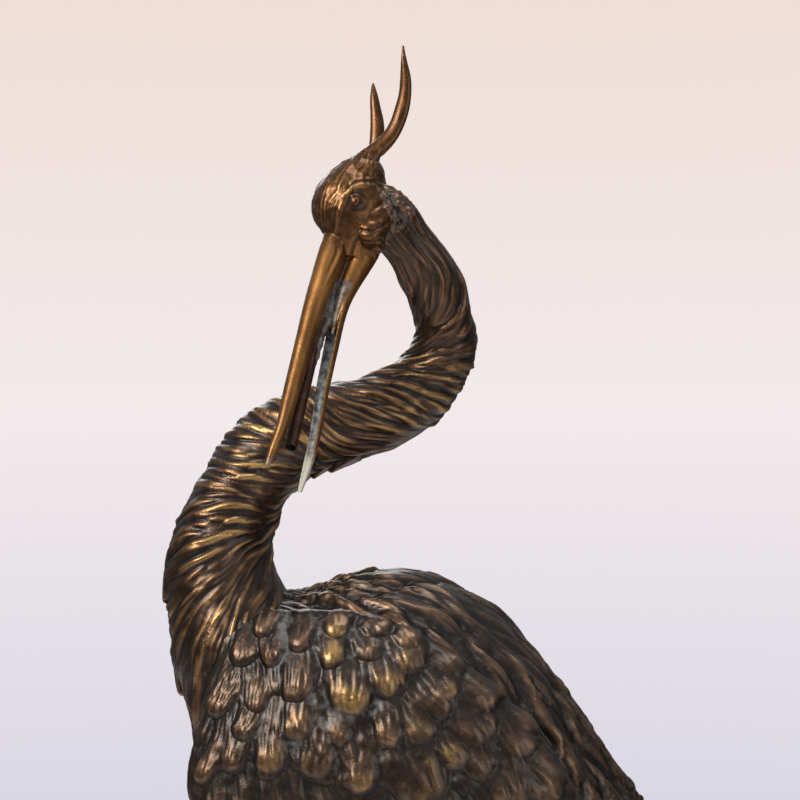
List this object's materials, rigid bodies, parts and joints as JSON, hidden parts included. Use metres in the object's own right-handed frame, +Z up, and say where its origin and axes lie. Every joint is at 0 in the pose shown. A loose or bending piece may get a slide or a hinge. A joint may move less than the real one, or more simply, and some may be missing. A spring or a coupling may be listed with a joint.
{
  "type": "crane garden statue",
  "caption": "Cast bronze crane that looks back over its own S-curved neck, bill open round a water pipe, standing on a low oval base.",
  "frame": {"origin": "centre of the base's underside, on the ground", "axes": "+Z up; the crane's breast faces -Y; +X is the crane's left, the side its head is turned to"},
  "size_m": [0.37, 0.6346, 1.5026],
  "materials": {
    "crane": "dark patinated cast bronze, ridges rubbed golden",
    "water_pipe": "dull brown oxidised copper",
    "base": "dark patinated cast bronze, matt"
  },
  "bodies": {
    "root": {"crane": "crane", "water_pipe": "water_pipe", "base": "base"}
  },
  "joints": []
}
